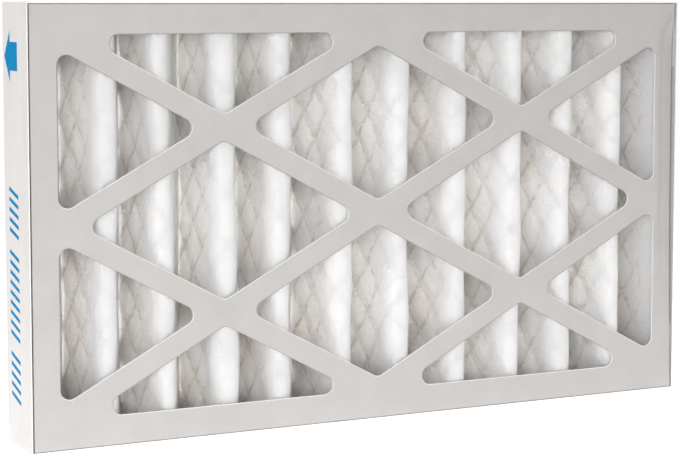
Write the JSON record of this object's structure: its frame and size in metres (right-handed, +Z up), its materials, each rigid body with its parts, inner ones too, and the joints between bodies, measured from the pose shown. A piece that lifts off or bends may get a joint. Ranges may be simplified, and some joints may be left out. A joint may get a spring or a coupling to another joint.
{
  "type": "air cleaner replacement filter",
  "caption": "Pleated air filter in a die-cut board frame with a diagonal lattice on both faces and a metal-backed white media pack.",
  "frame": {"origin": "middle of the bottom of the frame, on the surface that it stands on", "axes": "+X across the width, +Y along the airflow from the front face to the rear face, +Z up"},
  "size_m": [0.424, 0.045, 0.246],
  "materials": {
    "frame_board": "clay-coated beverage board, light grey, dull satin",
    "media": "non-woven cotton and polyester, soft matt white",
    "grid_metal": "expanded galvanised steel, dull metallic",
    "adhesive": "cured white adhesive"
  },
  "bodies": {
    "root": {"front_tray": "frame_board", "rear_tray": "frame_board", "pleated_media": "media", "support_grid": "grid_metal", "seal_top": "adhesive", "seal_bottom": "adhesive", "seal_left": "adhesive", "seal_right": "adhesive", "lap_glue_top": "adhesive", "lap_glue_bottom": "adhesive", "lap_glue_left": "adhesive", "lap_glue_right": "adhesive"}
  },
  "joints": []
}
